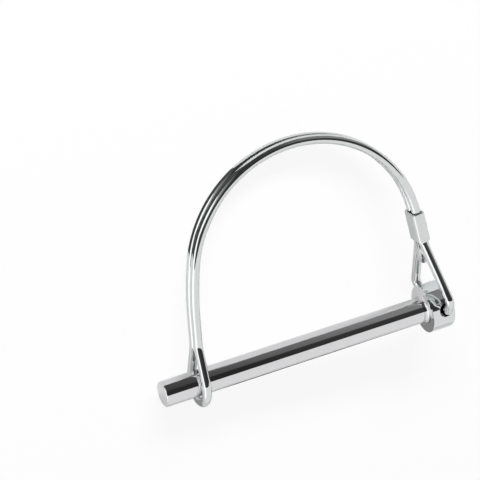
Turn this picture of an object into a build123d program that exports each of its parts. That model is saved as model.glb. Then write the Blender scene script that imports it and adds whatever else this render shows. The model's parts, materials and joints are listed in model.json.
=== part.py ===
from build123d import *
from math import asin, atan2, cos, degrees, hypot, radians, sin, tan
import os

# Hitch pin with a sprung wire bail, in millimetres.
# Each piece is drawn in the pin's own position: X runs along the shaft from its tip to its head,
# Y points from the shaft towards the top of the bail, and Z is square to the bail.
# The origin is on the shaft's axis, right under the head. At the end the pieces are turned together
# about it, so that the part lies as it comes to rest on a level surface.

# Pin
shaft_diameter = 6.35
shaft_length = 70.0
tip_edge = 0.5
head_diameter = 11.9
head_length = 6.1
head_crown_edge = 0.85
head_under_edge = 0.45
neck_radius = 0.9

# Hole across the head, and the hinge line of the wire that turns in it, seated high in the hole
hole_diameter = 3.3
hole_from_head = 3.55
hole_rise = 0.5
hole_mouth_edge = 0.1
hinge_from_head = 3.6
hinge_rise = 0.7

# Bail wire, bent double: two strands side by side
wire_diameter = 2.25
strand_gap = 0.19
wire_end_gap = 2.0
arch_radius = 29.5

# Head side of the bail, with heights measured from the hinge along the leaning legs
leg_lean = 4.95
leg_spread = 30.8
fork_height = 16.8
fork_bend_radius = 1.9
knee_height = 3.2
knee_radius = 1.5
foot_reach = 7.1
foot_radius = 1.6
arch_start_height = 24.6

# Tip side of the bail, with heights measured from the shaft's axis
arch_end_lean = 12.3
tip_lean = 5.12
tip_bend_height = 22.0
tip_bend_radius = 80.0
loop_radius = 4.6
loop_drop = 0.3
loop_part_height = 9.3
loop_part_radius = 5.0

# Sleeve crimped on the two strands, with a strap under it that passes between the legs and
# widens with the gap between them, down to its thicker bridge
crimp_squeeze = 0.02
sleeve_wall = 0.5
sleeve_length = 7.45
sleeve_corner = 0.9
sleeve_lift = 0.3
sleeve_edge = 0.15
strap_inner_width = 2.26
strap_arm = 0.45
strap_bridge = 1.3
strap_bottom = 11.65
strap_top_width = 1.0
strap_bottom_width = 2.4
strap_corner = 0.7
strap_inner_corner = 0.3

# Lying down, in degrees: the part rests on one knee, the side of the loop and the top of the arch
rest_roll = -5.5362
rest_pitch = -4.3381

wire_radius = wire_diameter / 2
strand_offset = wire_radius + strand_gap / 2
hole_radius = hole_diameter / 2

# Head side: out of the hole, round the foot and the knee, up the leg and into the sleeve.
# On the leg plane X is square to the bail and Y points up the leaning legs.
leg_across = Vector(cos(radians(leg_lean)), sin(radians(leg_lean)), 0)
leg_up = Vector(-sin(radians(leg_lean)), cos(radians(leg_lean)), 0)
hinge_point = Vector(hinge_from_head, hinge_rise, 0)
leg_plane = Plane(origin=hinge_point, x_dir=(0, 0, 1), z_dir=-leg_across)
knee_reach = strand_offset + (fork_height - knee_height) * tan(radians(leg_spread))
shin_lean = degrees(atan2(knee_reach - foot_reach, knee_height))
shin_direction = (sin(radians(shin_lean)), cos(radians(shin_lean)))
foot_turn = 90 - shin_lean
foot_start = (foot_reach - foot_radius * tan(radians(foot_turn / 2)), 0)
knee_turn = shin_lean + leg_spread
knee_run = knee_radius * tan(radians(knee_turn / 2))
knee_start = (knee_reach - knee_run * shin_direction[0], knee_height - knee_run * shin_direction[1])
fork_reach = fork_bend_radius * tan(radians(leg_spread / 2))
fork_top = (strand_offset, fork_height + fork_reach)
fork_foot_x = strand_offset + fork_reach * sin(radians(leg_spread))
fork_foot_y = fork_height - fork_reach * cos(radians(leg_spread))
leg_direction = (-sin(radians(leg_spread)), cos(radians(leg_spread)))

# Arch: a round bow that starts in line with the legs
arch_start = hinge_point + leg_up * arch_start_height
arch_centre = arch_start - leg_across * arch_radius
arch_turn = 180 - arch_end_lean - leg_lean

# Tip side: a straight run, a slight bend, then straight down to the loop.
# Where the run is too short for the bend, the bend rounds as wide as the run allows.
tip_turn = arch_end_lean - tip_lean
arch_end_x = arch_centre.X - arch_radius * cos(radians(arch_end_lean))
arch_end_y = arch_centre.Y + arch_radius * sin(radians(arch_end_lean))
tip_bend_run = (arch_end_y - tip_bend_height) / cos(radians(arch_end_lean))
tip_bend_x = arch_end_x - tip_bend_run * sin(radians(arch_end_lean))
tip_bend_reach = min(tip_bend_radius * tan(radians(tip_turn / 2)), 0.95 * tip_bend_run)
tip_bend_round = tip_bend_reach / tan(radians(tip_turn / 2))

# Loop: the strands part and run into the round loop without a kink.
# On the loop plane X is square to the bail and Y points up the tip side.
tip_up = Vector(sin(radians(tip_lean)), cos(radians(tip_lean)), 0)
loop_foot = Vector(tip_bend_x - tip_bend_height * tan(radians(tip_lean)), 0, 0)
loop_plane = Plane(origin=loop_foot, x_dir=(0, 0, 1), z_dir=(-tip_up.Y, tip_up.X, 0))
part_height = loop_part_height / tip_up.Y
loop_reach = hypot(strand_offset, part_height + loop_drop)
loop_spread = degrees(asin(loop_radius / loop_reach) - atan2(strand_offset, part_height + loop_drop))
part_start = part_height + loop_part_radius * tan(radians(loop_spread / 2))
tip_run_top = tip_bend_height / tip_up.Y - tip_bend_reach

# Sleeve: its bore squeezes the strands, and its strap runs down from the two wide walls
bore_width = 2 * (strand_offset + wire_radius - crimp_squeeze)
bore_depth = 2 * (wire_radius - crimp_squeeze)
sleeve_start = fork_height + fork_reach + sleeve_lift
sleeve_foot = hinge_point + leg_up * sleeve_start
strap_half = strap_inner_width / 2
strap_outer = strap_half + strap_arm
strap_top = sleeve_start + sleeve_wall

with BuildPart() as pin:
    with BuildSketch(Plane.XY) as profile:
        with BuildLine():
            Polyline(
                (-shaft_length, 0),
                (-shaft_length, shaft_diameter / 2),
                (0, shaft_diameter / 2),
                (0, head_diameter / 2),
                (head_length, head_diameter / 2),
                (head_length, 0),
                close=True,
            )
        make_face()
        fillet(profile.vertices().group_by(Axis.X)[0].sort_by(Axis.Y)[-1], tip_edge)
        fillet(profile.vertices().group_by(Axis.X)[-1].sort_by(Axis.Y)[-1], head_crown_edge)
        head_corners = profile.vertices().filter_by_position(Axis.X, -0.01, 0.01).sort_by(Axis.Y)
        fillet(head_corners[0], neck_radius)
        chamfer(head_corners[-1], head_under_edge)
    revolve(axis=Axis.X)
    with BuildSketch(Plane.XY.offset(-head_diameter)):
        with Locations((hole_from_head, hole_rise)):
            Circle(hole_radius)
    extrude(amount=2 * head_diameter, mode=Mode.SUBTRACT)
    hole_edges = pin.edges().filter_by(GeomType.LINE, reverse=True).filter_by_position(
        Axis.X, hole_from_head - hole_radius, hole_from_head + hole_radius
    )
    chamfer(hole_edges, hole_mouth_edge)

with BuildPart() as bail_wire:
    with BuildLine(leg_plane) as head_side:
        Line((wire_end_gap / 2, 0), foot_start)
        foot = JernArc(foot_start, (1, 0), foot_radius, foot_turn)
        knee = JernArc(knee_start, shin_direction, knee_radius, knee_turn)
        Line(foot @ 1, knee @ 0)
        fork_bend = JernArc((fork_foot_x, fork_foot_y), leg_direction, fork_bend_radius, -leg_spread)
        Line(knee @ 1, fork_bend @ 0)
        Line(fork_top, (strand_offset, arch_start_height))
    with BuildLine(Plane.XY.offset(strand_offset)) as bow:
        CenterArc((arch_centre.X, arch_centre.Y), arch_radius, leg_lean, arch_turn)
        descent = PolarLine((arch_end_x, arch_end_y), tip_bend_run - tip_bend_reach, 270 - arch_end_lean)
        JernArc(descent @ 1, descent % 1, tip_bend_round, tip_turn)
    with BuildLine(loop_plane) as tip_side:
        Line((strand_offset, tip_run_top), (strand_offset, part_start))
        parting = JernArc((strand_offset, part_start), (0, -1), loop_part_radius, loop_spread)
        loop = CenterArc((0, -loop_drop), loop_radius, loop_spread, -90 - loop_spread)
        Line(parting @ 1, loop @ 0)
    with BuildSketch(Plane(origin=leg_plane.from_local_coords((wire_end_gap / 2, 0)), z_dir=(0, 0, 1))):
        Circle(wire_radius)
    sweep(path=head_side.edges() + bow.edges() + tip_side.edges())
    mirror(about=Plane.XY)

with BuildPart() as sleeve:
    with BuildSketch(Plane(origin=hinge_point, x_dir=leg_across, z_dir=(0, 0, 1))) as strap:
        with Locations((0, strap_bottom)):
            Rectangle(2 * strap_outer, strap_top - strap_bottom, align=(Align.CENTER, Align.MIN))
        fillet(strap.vertices().group_by(Axis.Y)[0], strap_corner)
        with Locations((0, strap_bottom + strap_bridge)):
            RectangleRounded(
                2 * strap_half,
                2 * (strap_top - strap_bottom),
                strap_inner_corner,
                align=(Align.CENTER, Align.MIN),
                mode=Mode.SUBTRACT,
            )
    extrude(amount=strap_bottom_width, both=True)
    with BuildSketch(leg_plane):
        with BuildLine():
            Polyline(
                (strap_bottom_width / 2, strap_bottom),
                (strap_bottom_width / 2, strap_bottom + strap_bridge),
                (strap_top_width / 2, sleeve_start),
                (strap_top_width / 2, strap_top),
                (-strap_top_width / 2, strap_top),
                (-strap_top_width / 2, sleeve_start),
                (-strap_bottom_width / 2, strap_bottom + strap_bridge),
                (-strap_bottom_width / 2, strap_bottom),
                close=True,
            )
        make_face()
    extrude(amount=strap_outer, both=True, mode=Mode.INTERSECT)
    with BuildSketch(Plane(origin=sleeve_foot, x_dir=(0, 0, 1), z_dir=leg_up)):
        RectangleRounded(bore_width + 2 * sleeve_wall, bore_depth + 2 * sleeve_wall, sleeve_corner)
        RectangleRounded(bore_width, bore_depth, sleeve_corner - sleeve_wall, mode=Mode.SUBTRACT)
    extrude(amount=sleeve_length)
    rims = sleeve.faces().filter_by(Axis(sleeve_foot, leg_up)).sort_by(Axis(sleeve_foot, leg_up))
    chamfer(rims[-1].edges(), sleeve_edge)

rest = Rot(0, rest_pitch, 0) * Rot(rest_roll, 0, 0)
pin.part.move(rest)
bail_wire.part.move(rest)
sleeve.part.move(rest)

os.makedirs("parts", exist_ok=True)
pin.part.label = "pin"
bail_wire.part.label = "bail_wire"
sleeve.part.label = "sleeve"
export_step(pin.part, "parts/pin.step")
export_step(bail_wire.part, "parts/bail_wire.step")
export_step(sleeve.part, "parts/sleeve.step")
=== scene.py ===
"""Studio scene for a hitch pin with a sprung wire bail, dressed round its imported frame."""

import json
import logging
import math
from dataclasses import dataclass, field
from enum import Enum

import bpy
from mathutils import Matrix, Vector

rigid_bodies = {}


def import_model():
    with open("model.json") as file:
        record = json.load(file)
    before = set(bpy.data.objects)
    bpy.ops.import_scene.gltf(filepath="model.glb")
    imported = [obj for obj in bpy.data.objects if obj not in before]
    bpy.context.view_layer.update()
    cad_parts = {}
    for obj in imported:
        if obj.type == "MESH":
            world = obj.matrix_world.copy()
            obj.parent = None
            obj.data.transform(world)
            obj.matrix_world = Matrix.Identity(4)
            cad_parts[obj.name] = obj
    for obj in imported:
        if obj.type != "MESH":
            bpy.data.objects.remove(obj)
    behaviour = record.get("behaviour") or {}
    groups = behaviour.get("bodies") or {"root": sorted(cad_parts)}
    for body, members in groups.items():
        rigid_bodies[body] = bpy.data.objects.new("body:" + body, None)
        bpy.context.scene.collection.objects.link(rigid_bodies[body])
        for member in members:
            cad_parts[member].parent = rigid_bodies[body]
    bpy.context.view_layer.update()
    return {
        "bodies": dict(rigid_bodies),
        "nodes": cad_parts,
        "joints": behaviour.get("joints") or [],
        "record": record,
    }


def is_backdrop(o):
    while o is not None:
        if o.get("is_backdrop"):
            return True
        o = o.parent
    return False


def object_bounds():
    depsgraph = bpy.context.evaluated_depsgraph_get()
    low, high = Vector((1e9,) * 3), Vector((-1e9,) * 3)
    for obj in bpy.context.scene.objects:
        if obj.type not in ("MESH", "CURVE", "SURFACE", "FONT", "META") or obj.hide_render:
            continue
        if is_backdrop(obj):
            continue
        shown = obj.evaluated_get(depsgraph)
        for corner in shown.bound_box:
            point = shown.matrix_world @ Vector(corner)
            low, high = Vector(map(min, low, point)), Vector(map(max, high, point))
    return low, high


LOG = logging.getLogger("hitch_pin")
MM = 0.001


def linear(hex_colour: str) -> tuple[float, float, float, float]:
    """Turns an sRGB hex colour into linear RGBA.

    Args:
        hex_colour: Six hex digits, with or without a leading hash.

    Returns:
        Linear red, green and blue, and an alpha of 1.
    """
    digits = hex_colour.lstrip("#")
    shares = [int(digits[i : i + 2], 16) / 255 for i in (0, 2, 4)]
    red, green, blue = (s / 12.92 if s <= 0.04045 else ((s + 0.055) / 1.055) ** 2.4 for s in shares)
    return red, green, blue, 1.0


def grey(value: float) -> tuple[float, float, float, float]:
    """Gives a linear grey of that value as RGBA."""
    return value, value, value, 1.0


def add_node(
    tree: bpy.types.NodeTree,
    kind: str,
    settings: dict[str, object] | None = None,
    values: dict[str | int, object] | None = None,
    links: dict[str | int, bpy.types.NodeSocket] | None = None,
) -> bpy.types.Node:
    """Adds a node, sets it up and links its inputs.

    Args:
        tree: The node tree that gets the node.
        kind: The node's Blender type, such as "ShaderNodeMath".
        settings: Properties of the node by name.
        values: Default values of its inputs, by socket name or index.
        links: Output sockets to join to its inputs, by socket name or index.

    Returns:
        The new node.
    """
    node = tree.nodes.new(kind)
    for name, setting in (settings or {}).items():
        setattr(node, name, setting)
    for name, value in (values or {}).items():
        node.inputs[name].default_value = value
    for name, socket in (links or {}).items():
        tree.links.new(socket, node.inputs[name])
    return node


def empty_tree(owner: bpy.types.Material | bpy.types.World) -> bpy.types.NodeTree:
    """Turns on the nodes of a material or a world and clears them.

    Args:
        owner: The material or world.

    Returns:
        Its empty node tree.
    """
    owner.use_nodes = True
    owner.node_tree.nodes.clear()
    return owner.node_tree


def set_ramp(node: bpy.types.Node, stops: list[tuple[float, float]]) -> None:
    """Writes grey stops into a colour ramp.

    Args:
        node: The colour ramp node.
        stops: Positions from 0 to 1 with a linear grey each, in rising order.
    """
    elements = node.color_ramp.elements
    while len(elements) < len(stops):
        elements.new(1.0)
    for element, (position, value) in zip(elements, stops):
        element.position = position
        element.color = grey(value)


def mix_colours(
    tree: bpy.types.NodeTree,
    factor: bpy.types.NodeSocket,
    first: bpy.types.NodeSocket | tuple[float, ...],
    second: bpy.types.NodeSocket | tuple[float, ...],
) -> bpy.types.NodeSocket:
    """Mixes two colours, each a socket or fixed.

    Args:
        tree: The node tree that gets the node.
        factor: The socket that gives the second colour's share.
        first: The colour at a share of 0.
        second: The colour at a share of 1.

    Returns:
        The socket with the mixed colour.
    """
    node = add_node(tree, "ShaderNodeMix", {"data_type": "RGBA"}, links={"Factor": factor})
    for socket, colour in ((node.inputs["A"], first), (node.inputs["B"], second)):
        if isinstance(colour, tuple):
            socket.default_value = colour
        else:
            tree.links.new(colour, socket)
    return node.outputs["Result"]


def scaled(tree: bpy.types.NodeTree, value: bpy.types.NodeSocket, factor: float) -> bpy.types.NodeSocket:
    """Multiplies a value by a fixed factor."""
    return add_node(tree, "ShaderNodeMath", {"operation": "MULTIPLY"}, {1: factor}, {0: value}).outputs[0]


def seen_in_metal(tree: bpy.types.NodeTree, path: bpy.types.Node) -> bpy.types.NodeSocket:
    """Gives 1 for a ray that metal or glass sends on, and 0 for any other.

    Args:
        tree: The node tree that gets the node.
        path: The tree's Light Path node.

    Returns:
        The socket with the 1 or 0.
    """
    return add_node(
        tree,
        "ShaderNodeMath",
        {"operation": "MAXIMUM"},
        links={0: path.outputs["Is Glossy Ray"], 1: path.outputs["Is Transmission Ray"]},
    ).outputs[0]


class Stock(Enum):
    """The steel under the plate, by how it was made."""

    DRAWN_BAR = "drawn_bar"
    SPRING_WIRE = "spring_wire"
    PRESSED_STRIP = "pressed_strip"


@dataclass(frozen=True)
class ToolMarks:
    """Drawing lines along the shaft and turning rings on the head, coarser than real ones to show at all.

    The flattening is the share of the run along the shaft that the pattern leaves out, so that its spots
    stretch into lines.
    """

    pitch_mm: float
    depth_mm: float
    detail: float = 2.0
    flattening: float = 0.97

    def bump(
        self,
        tree: bpy.types.NodeTree,
        place: bpy.types.NodeSocket,
        along: bpy.types.NodeSocket,
        axis: Vector,
        normal: bpy.types.NodeSocket,
    ) -> bpy.types.NodeSocket:
        """Adds the marks to a normal.

        Args:
            tree: The material's node tree.
            place: The socket that gives the point on the surface.
            along: The socket that gives the distance along the shaft, from the head's underside.
            axis: Unit vector along the shaft.
            normal: The socket with the normal so far.

        Returns:
            The socket with the marked normal.
        """
        pull = add_node(
            tree,
            "ShaderNodeVectorMath",
            {"operation": "SCALE"},
            {0: tuple(axis)},
            {"Scale": scaled(tree, along, -self.flattening)},
        )
        across = add_node(
            tree, "ShaderNodeVectorMath", {"operation": "ADD"}, links={0: place, 1: pull.outputs["Vector"]}
        )
        lines = add_node(
            tree,
            "ShaderNodeTexNoise",
            values={"Scale": 1 / (self.pitch_mm * MM), "Detail": self.detail},
            links={"Vector": across.outputs["Vector"]},
        )
        rings = add_node(
            tree,
            "ShaderNodeTexNoise",
            {"noise_dimensions": "1D"},
            {"Scale": 1 / (self.pitch_mm * MM), "Detail": self.detail},
            {"W": along},
        )
        on_shaft = add_node(tree, "ShaderNodeMath", {"operation": "GREATER_THAN"}, {1: 0.0}, {0: along})
        marks = add_node(
            tree,
            "ShaderNodeMix",
            {"data_type": "FLOAT"},
            links={0: on_shaft.outputs[0], 2: rings.outputs["Fac"], 3: lines.outputs["Fac"]},
        )
        return add_node(
            tree,
            "ShaderNodeBump",
            values={"Strength": 1.0, "Distance": self.depth_mm * MM},
            links={"Height": marks.outputs[0], "Normal": normal},
        ).outputs["Normal"]


@dataclass(frozen=True)
class BrightPlate:
    """Bright nickel plate on steel: a mirror with a faint haze and the steel's ripple, with painted shade in
    its seams.
    """

    stock: Stock
    colour: str
    hazy_colour: str
    # The dark colour painted into seams and crevices as shade, not a colour of the plate.
    painted_seam_shade_colour: str
    roughness: float
    roughness_spread: float
    haze_size_mm: float
    ripple_size_mm: float
    ripple_depth_mm: float
    head_colour: str | None = None
    marks: ToolMarks | None = None
    haze_detail: float = 3.0
    haze_breakup: float = 0.55
    # The haze pattern's values at which the plate is at its smoothest and at its roughest.
    haze_limits: tuple[float, float] = (0.3, 0.7)
    ripple_detail: float = 1.0
    # How far the painted seam shade looks for nearby surfaces.
    painted_seam_shade_reach_mm: float = 0.5
    # How open a point lies where the painted seam shade is full, and where it has gone.
    painted_seam_shade_limits: tuple[float, float] = (0.15, 0.6)
    painted_seam_shade_samples: int = 8

    @property
    def name(self) -> str:
        """The material's name, from its plate and its stock."""
        return "nickel_plated_" + self.stock.value

    def build(self, axis: Vector) -> bpy.types.Material:
        """Makes the material.

        Args:
            axis: Unit vector from the head to the tip, through the origin under the head.

        Returns:
            The finished material.
        """
        material = bpy.data.materials.new(self.name)
        tree = empty_tree(material)
        place = add_node(tree, "ShaderNodeTexCoord").outputs["Object"]
        along = add_node(
            tree, "ShaderNodeVectorMath", {"operation": "DOT_PRODUCT"}, {1: tuple(axis)}, {0: place}
        ).outputs["Value"]
        haze = add_node(
            tree,
            "ShaderNodeTexNoise",
            values={
                "Scale": 1 / (self.haze_size_mm * MM),
                "Detail": self.haze_detail,
                "Roughness": self.haze_breakup,
            },
            links={"Vector": place},
        ).outputs["Fac"]
        plate = mix_colours(tree, haze, linear(self.colour), linear(self.hazy_colour))
        if self.head_colour:
            on_head = add_node(tree, "ShaderNodeMath", {"operation": "LESS_THAN"}, {1: 0.0}, {0: along})
            plate = mix_colours(tree, on_head.outputs[0], plate, linear(self.head_colour))
        # Painted shade: the plate turns towards the seam shade colour where nearby surfaces close it in.
        colour = mix_colours(tree, self.openness(tree), linear(self.painted_seam_shade_colour), plate)
        roughness = add_node(
            tree,
            "ShaderNodeMapRange",
            values={
                "From Min": self.haze_limits[0],
                "From Max": self.haze_limits[1],
                "To Min": self.roughness - self.roughness_spread,
                "To Max": self.roughness + self.roughness_spread,
            },
            links={"Value": haze},
        )
        normal = self.rippled_normal(tree, place)
        if self.marks:
            normal = self.marks.bump(tree, place, along, axis, normal)
        shader = add_node(
            tree,
            "ShaderNodeBsdfPrincipled",
            values={"Metallic": 1.0},
            links={"Base Color": colour, "Roughness": roughness.outputs["Result"], "Normal": normal},
        )
        add_node(tree, "ShaderNodeOutputMaterial", links={"Surface": shader.outputs["BSDF"]})
        return material

    def openness(self, tree: bpy.types.NodeTree) -> bpy.types.NodeSocket:
        """Measures how open a point lies, which sets the painted shade in the seams.

        Args:
            tree: The material's node tree.

        Returns:
            The socket that runs from 0 deep in a seam to 1 on a free surface.
        """
        cover = add_node(
            tree,
            "ShaderNodeAmbientOcclusion",
            {"samples": self.painted_seam_shade_samples},
            {"Distance": self.painted_seam_shade_reach_mm * MM},
        )
        return add_node(
            tree,
            "ShaderNodeMapRange",
            {"interpolation_type": "SMOOTHSTEP"},
            {"From Min": self.painted_seam_shade_limits[0], "From Max": self.painted_seam_shade_limits[1]},
            {"Value": cover.outputs["AO"]},
        ).outputs["Result"]

    def rippled_normal(self, tree: bpy.types.NodeTree, place: bpy.types.NodeSocket) -> bpy.types.NodeSocket:
        """Adds the slow ripple of worked steel.

        Args:
            tree: The material's node tree.
            place: The socket that gives the point on the surface.

        Returns:
            The socket with the rippled normal.
        """
        ripple = add_node(
            tree,
            "ShaderNodeTexNoise",
            values={"Scale": 1 / (self.ripple_size_mm * MM), "Detail": self.ripple_detail},
            links={"Vector": place},
        )
        return add_node(
            tree,
            "ShaderNodeBump",
            values={"Strength": 1.0, "Distance": self.ripple_depth_mm * MM},
            links={"Height": ripple.outputs["Fac"]},
        ).outputs["Normal"]


# Cold-drawn bar with a turned head, polished and bright nickel plated: neutral along the shaft, a little
# cooler on the head, with the bar's drawing lines and the lathe's rings just showing.
PIN_FINISH = BrightPlate(
    stock=Stock.DRAWN_BAR,
    colour="DCDCDD",
    hazy_colour="D3D3D5",
    head_colour="D6DADA",
    # Painted shade in the seams, not a colour of the plate.
    painted_seam_shade_colour="5A5E5E",
    roughness=0.05,
    roughness_spread=0.015,
    haze_size_mm=3.0,
    ripple_size_mm=6.0,
    ripple_depth_mm=0.012,
    marks=ToolMarks(pitch_mm=0.35, depth_mm=0.0005),
)

# Hard-drawn spring wire, bright nickel plated: a clean mirror with the slow ripple of bent wire.
WIRE_FINISH = BrightPlate(
    stock=Stock.SPRING_WIRE,
    colour="DBDDDD",
    hazy_colour="D2D5D5",
    # Painted shade in the seams, not a colour of the plate.
    painted_seam_shade_colour="2E3030",
    roughness=0.045,
    roughness_spread=0.015,
    haze_size_mm=2.0,
    ripple_size_mm=5.0,
    ripple_depth_mm=0.01,
)

# Pressed steel strip, bright nickel plated: the press leaves it a shade more satin than the wire.
SLEEVE_FINISH = BrightPlate(
    stock=Stock.PRESSED_STRIP,
    colour="DADBDB",
    hazy_colour="CFD1D1",
    # Painted shade in the seams, not a colour of the plate.
    painted_seam_shade_colour="2A2C2C",
    roughness=0.12,
    roughness_spread=0.03,
    haze_size_mm=1.2,
    ripple_size_mm=2.5,
    ripple_depth_mm=0.006,
)


@dataclass
class Pin:
    """The turned pin: its round shaft and drilled head, as packed."""

    frame: dict
    node: str = "pin"
    finish: BrightPlate = PIN_FINISH

    def dress(self) -> bpy.types.Object:
        """Puts the plate on the pin and returns it."""
        return dress_node(self.frame, self.node, self.finish)


@dataclass
class Bail:
    """The sprung bail: its doubled wire and the crimped sleeve that holds the strands."""

    frame: dict
    finishes: dict[str, BrightPlate] = field(
        default_factory=lambda: {"bail_wire": WIRE_FINISH, "sleeve": SLEEVE_FINISH}
    )

    def dress(self) -> list[bpy.types.Object]:
        """Puts the plate on the wire and the sleeve and returns them."""
        return [dress_node(self.frame, node, finish) for node, finish in self.finishes.items()]


def shaft_axis(frame: dict) -> Vector:
    """Gives the unit vector from the head to the tip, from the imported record."""
    grip = next(m for m in frame["record"]["mounts"] if m["name"] == "shaft_grip")
    return Vector(grip["axis"]).normalized()


def dress_node(frame: dict, node: str, finish: BrightPlate) -> bpy.types.Object:
    """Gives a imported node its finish.

    Args:
        node: The node's name.
        finish: The finish that it gets.

    Returns:
        The node's object.
    """
    piece = frame["nodes"][node]
    piece.data.materials.clear()
    piece.data.materials.append(finish.build(shaft_axis(frame)))
    LOG.info("%s: %s", node, finish.name)
    return piece


@dataclass
class Card:
    """A long card that only the metal sees.

    Its section is a row of points in Y and Z. Each of its greys is a place along X, in mm, and the linear
    grey there.
    """

    name: str
    section_mm: tuple[tuple[float, float], ...]
    greys: tuple[tuple[float, float], ...]

    def build(self) -> None:
        """Hangs the card in the studio."""
        ends = (self.greys[0][0], self.greys[-1][0])
        corners = [Vector((x, y, z)) * MM for y, z in self.section_mm for x in ends]
        faces = [(i, i + 1, i + 3, i + 2) for i in range(0, len(corners) - 2, 2)]
        mesh = bpy.data.meshes.new(self.name)
        mesh.from_pydata(corners, [], faces)
        mesh.materials.append(self.material())
        card = bpy.data.objects.new(self.name, mesh)
        bpy.context.scene.collection.objects.link(card)
        card.visible_camera = False
        card.visible_diffuse = False
        card.visible_shadow = False
        card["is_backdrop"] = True

    def material(self) -> bpy.types.Material:
        """Makes matt card stock whose grey runs along X, shown at its own level.

        Returns:
            The finished material.
        """
        low, high = self.greys[0][0], self.greys[-1][0]
        material = bpy.data.materials.new(self.name + "_stock")
        tree = empty_tree(material)
        place = add_node(tree, "ShaderNodeTexCoord").outputs["Object"]
        parts = add_node(tree, "ShaderNodeSeparateXYZ", links={"Vector": place})
        share = add_node(
            tree,
            "ShaderNodeMapRange",
            values={"From Min": low * MM, "From Max": high * MM},
            links={"Value": parts.outputs["X"]},
        )
        ramp = add_node(tree, "ShaderNodeValToRGB", links={"Fac": share.outputs["Result"]})
        set_ramp(ramp, [((place_mm - low) / (high - low), value) for place_mm, value in self.greys])
        glow = add_node(tree, "ShaderNodeEmission", links={"Color": ramp.outputs["Color"]})
        add_node(tree, "ShaderNodeOutputMaterial", links={"Surface": glow.outputs[0]})
        return material


def bow(
    start_deg: float, end_deg: float, radius_mm: float = 200.0, steps: int = 16
) -> tuple[tuple[float, float], ...]:
    """Gives the round section of a card bowed about the shaft.

    Args:
        start_deg: Where it starts, from 0 straight up towards 90 at the back.
        end_deg: Where it ends.
        radius_mm: Its distance from the shaft.
        steps: The number of flats that make it round.

    Returns:
        The section's points in Y and Z.
    """
    angles = [math.radians(start_deg + (end_deg - start_deg) * i / steps) for i in range(steps + 1)]
    return tuple((radius_mm * math.sin(a), radius_mm * math.cos(a)) for a in angles)


def flat(near_mm: float, far_mm: float, height_mm: float = -10.0) -> tuple[tuple[float, float], ...]:
    """Gives the straight section of a card laid on the table, from one Y to another."""
    return (near_mm, height_mm), (far_mm, height_mm)


# Where the bowed cards start and end about the shaft.
FLAG_START_DEG = 2.8
HIGH_WALL_START_DEG = 41.0
LOW_WALL_START_DEG = 47.0
LOW_WALL_END_DEG = 93.0

# A black flag bowed overhead, from just past the pin towards the back.
FLAG = Card(
    name="overhead_flag",
    section_mm=bow(start_deg=FLAG_START_DEG, end_deg=HIGH_WALL_START_DEG),
    greys=(
        (-360, 0.8),
        (-325, 0.06),
        (-120, 0.06),
        (0, 0.025),
        (25, 0.04),
        (60, 0.045),
        (370, 0.06),
        (440, 0.8),
    ),
)

# Grey walls that carry the bow on to the table, darker towards the tip side, where they stop sooner.
HIGH_WALL = Card(
    name="high_wall",
    section_mm=bow(start_deg=HIGH_WALL_START_DEG, end_deg=LOW_WALL_START_DEG),
    greys=((-190, 0.6), (-110, 0.06), (0, 0.04), (30, 0.07), (60, 0.08), (370, 0.10), (440, 0.8)),
)
LOW_WALL = Card(
    name="low_wall",
    section_mm=bow(start_deg=LOW_WALL_START_DEG, end_deg=LOW_WALL_END_DEG),
    greys=(
        (-190, 0.6),
        (-100, 0.04),
        (-20, 0.06),
        (2, 0.10),
        (23, 0.17),
        (33, 0.19),
        (56, 0.27),
        (130, 0.30),
        (370, 0.34),
        (440, 0.8),
    ),
)

# Dark cards laid on the table behind the pin, the near one beside its tip.
TABLE_CARD = Card(
    name="table_card",
    section_mm=flat(near_mm=76, far_mm=200),
    greys=((-135, 0.05), (-50, 0.09), (-20, 0.16), (30, 0.22), (420, 0.30)),
)
TIP_CARD = Card(
    name="tip_card",
    section_mm=flat(near_mm=32, far_mm=76),
    greys=((-120, 0.05), (-50, 0.07), (-42, 0.10)),
)

# Painted shadow: a dark card laid on the table just in front of the shaft, where its shadow falls, short of
# the loop, and paler beside the head.
SHAFT_SHADOW_CARD = Card(
    name="painted_shaft_shadow_card",
    section_mm=flat(near_mm=-28, far_mm=-7.5),
    greys=((-52, 0.80), (-46, 0.08), (-14, 0.08), (-6, 0.30), (2, 0.32)),
)


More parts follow.
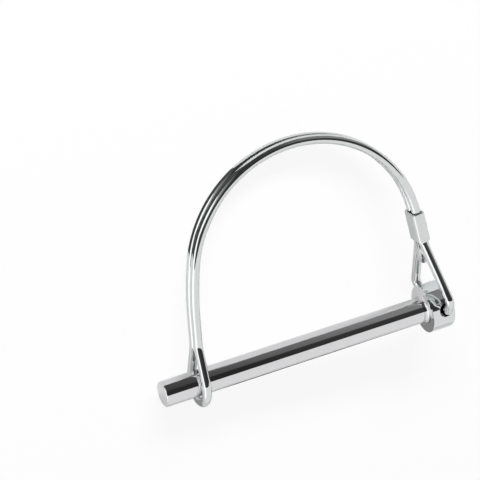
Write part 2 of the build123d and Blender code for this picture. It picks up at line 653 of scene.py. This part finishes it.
@dataclass
class Studio:
    """White table in a white tent, with a soft key lamp, a bright end wall, dark cards for the metal and a
    painted shadow card.
    """

    table_size_m: float = 4.0
    table_colour: str = "F6F6F6"
    # How much of the table shows as plain white, to the camera and in the metal. The rest is as it is lit.
    seen_share: float = 0.90
    mirrored_share: float = 0.08
    # The tent's strengths: the light on the part, and the walls in the metal, all round and past the tip.
    fill_level: float = 0.30
    tent_level: float = 0.97
    end_level: float = 1.5
    # How squarely a direction points past the tip where the end wall starts, and where it is full.
    end_reach: tuple[float, float] = (0.55, 0.80)
    key_elevation_deg: float = 28.5
    key_distance_m: float = 1.0
    key_length_m: float = 0.8
    key_width_m: float = 0.16
    key_power_w: float = 14.5
    cards: tuple[Card, ...] = (FLAG, HIGH_WALL, LOW_WALL, TABLE_CARD, TIP_CARD, SHAFT_SHADOW_CARD)

    def build(self) -> None:
        """Makes the table, the tent, the key lamp and the cards."""
        self.build_table()
        self.build_tent()
        self.build_key()
        for card in self.cards:
            card.build()
            LOG.info("%s: in place", card.name)

    def build_table(self) -> None:
        """Lays the white table top under the part's lowest point."""
        low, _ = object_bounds()
        half = self.table_size_m / 2
        outline = ((-half, -half), (half, -half), (half, half), (-half, half))
        corners = [(x, y, low[2]) for x, y in outline]
        mesh = bpy.data.meshes.new("table_top")
        mesh.from_pydata(corners, [], [(0, 1, 2, 3)])
        table = bpy.data.objects.new("table_top", mesh)
        bpy.context.scene.collection.objects.link(table)
        mesh.materials.append(self.table_material())
        table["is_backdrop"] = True

    def table_material(self) -> bpy.types.Material:
        """Makes matt white laminate that shows nearly white to the camera and keeps a soft shadow.

        Returns:
            The finished material.
        """
        material = bpy.data.materials.new("matt_white_laminate")
        tree = empty_tree(material)
        matt = add_node(tree, "ShaderNodeBsdfDiffuse", values={"Color": linear(self.table_colour)})
        glow = add_node(tree, "ShaderNodeEmission", values={"Color": grey(1.0), "Strength": 1.0})
        path = add_node(tree, "ShaderNodeLightPath")
        share = add_node(
            tree,
            "ShaderNodeMath",
            {"operation": "MAXIMUM"},
            links={
                0: scaled(tree, path.outputs["Is Camera Ray"], self.seen_share),
                1: scaled(tree, seen_in_metal(tree, path), self.mirrored_share),
            },
        )
        surface = add_node(
            tree,
            "ShaderNodeMixShader",
            links={0: share.outputs[0], 1: matt.outputs[0], 2: glow.outputs[0]},
        )
        add_node(tree, "ShaderNodeOutputMaterial", links={"Surface": surface.outputs[0]})
        return material

    def build_tent(self) -> None:
        """Makes the tent as the world: white to the camera, an even fill, and lit walls for the metal."""
        world = bpy.data.worlds.new("studio_tent")
        bpy.context.scene.world = world
        tree = empty_tree(world)
        direction = add_node(tree, "ShaderNodeTexCoord").outputs["Generated"]
        parts = add_node(tree, "ShaderNodeSeparateXYZ", links={"Vector": direction})
        towards_tip = scaled(tree, parts.outputs["X"], -1.0)
        wall_level = add_node(
            tree,
            "ShaderNodeMapRange",
            {"interpolation_type": "SMOOTHSTEP"},
            {
                "From Min": self.end_reach[0],
                "From Max": self.end_reach[1],
                "To Min": self.tent_level,
                "To Max": self.end_level,
            },
            {"Value": towards_tip},
        )
        path = add_node(tree, "ShaderNodeLightPath")
        walls = add_node(
            tree,
            "ShaderNodeBackground",
            values={"Color": grey(1.0)},
            links={"Strength": wall_level.outputs[0]},
        )
        fill = add_node(
            tree, "ShaderNodeBackground", values={"Color": grey(1.0), "Strength": self.fill_level}
        )
        white = add_node(tree, "ShaderNodeBackground", values={"Color": grey(1.0), "Strength": 1.0})
        lit = add_node(
            tree,
            "ShaderNodeMixShader",
            links={0: seen_in_metal(tree, path), 1: fill.outputs[0], 2: walls.outputs[0]},
        )
        shown = add_node(
            tree,
            "ShaderNodeMixShader",
            links={0: path.outputs["Is Camera Ray"], 1: lit.outputs[0], 2: white.outputs[0]},
        )
        add_node(tree, "ShaderNodeOutputWorld", links={"Surface": shown.outputs[0]})

    def build_key(self) -> None:
        """Hangs the long key lamp beyond the top of the bail, set along the shaft and aimed at the pin."""
        lamp = bpy.data.lights.new("key_lamp", "AREA")
        lamp.shape = "RECTANGLE"
        lamp.size = self.key_length_m
        lamp.size_y = self.key_width_m
        lamp.energy = self.key_power_w
        key = bpy.data.objects.new("key_lamp", lamp)
        elevation = math.radians(self.key_elevation_deg)
        back = Vector((0.0, math.cos(elevation), math.sin(elevation)))
        across = Vector((1, 0, 0))
        turn = Matrix((across, back.cross(across), back)).transposed()
        key.matrix_world = Matrix.Translation(back * self.key_distance_m) @ turn.to_4x4()
        key.visible_glossy = False
        key.visible_transmission = False
        bpy.context.scene.collection.objects.link(key)


@dataclass
class Shot:
    """The camera: a long lens that looks down on the pin, rolled so that the bail stands upright."""

    azimuth_deg: float = 130.38
    elevation_deg: float = 53.57
    roll_deg: float = -125.98
    distance_mm: float = 782.1
    field_deg: float = 8.58
    aim_mm: tuple[float, float, float] = (-33.62, 20.11, -27.38)

    def build(self) -> None:
        """Places the camera and makes it the scene's own."""
        azimuth, elevation, roll = (
            math.radians(a) for a in (self.azimuth_deg, self.elevation_deg, self.roll_deg)
        )
        back = Vector(
            (
                math.cos(elevation) * math.cos(azimuth),
                math.cos(elevation) * math.sin(azimuth),
                math.sin(elevation),
            )
        )
        level_up = (Vector((0, 0, 1)) - back * back.z).normalized()
        level_right = level_up.cross(back)
        up = level_up * math.cos(roll) + level_right * math.sin(roll)
        right = up.cross(back)
        camera_data = bpy.data.cameras.new("camera")
        camera_data.sensor_fit = "HORIZONTAL"
        camera_data.angle = math.radians(self.field_deg)
        camera = bpy.data.objects.new("camera", camera_data)
        turn = Matrix((right, up, back)).transposed()
        place = Vector(self.aim_mm) * MM + back * self.distance_mm * MM
        camera.matrix_world = Matrix.Translation(place) @ turn.to_4x4()
        bpy.context.scene.collection.objects.link(camera)
        bpy.context.scene.camera = camera
        LOG.info("camera: %.1f mm from its aim", self.distance_mm)


def main() -> None:
    """Builds the dressed part, the studio and the camera, and reports each."""
    logging.basicConfig(level=logging.INFO, format="%(name)s: %(message)s")
    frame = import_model()
    Pin(frame).dress()
    Bail(frame).dress()
    Studio().build()
    Shot().build()
    bpy.context.scene.view_settings.view_transform = "Standard"


if __name__ == "__main__":
    main()
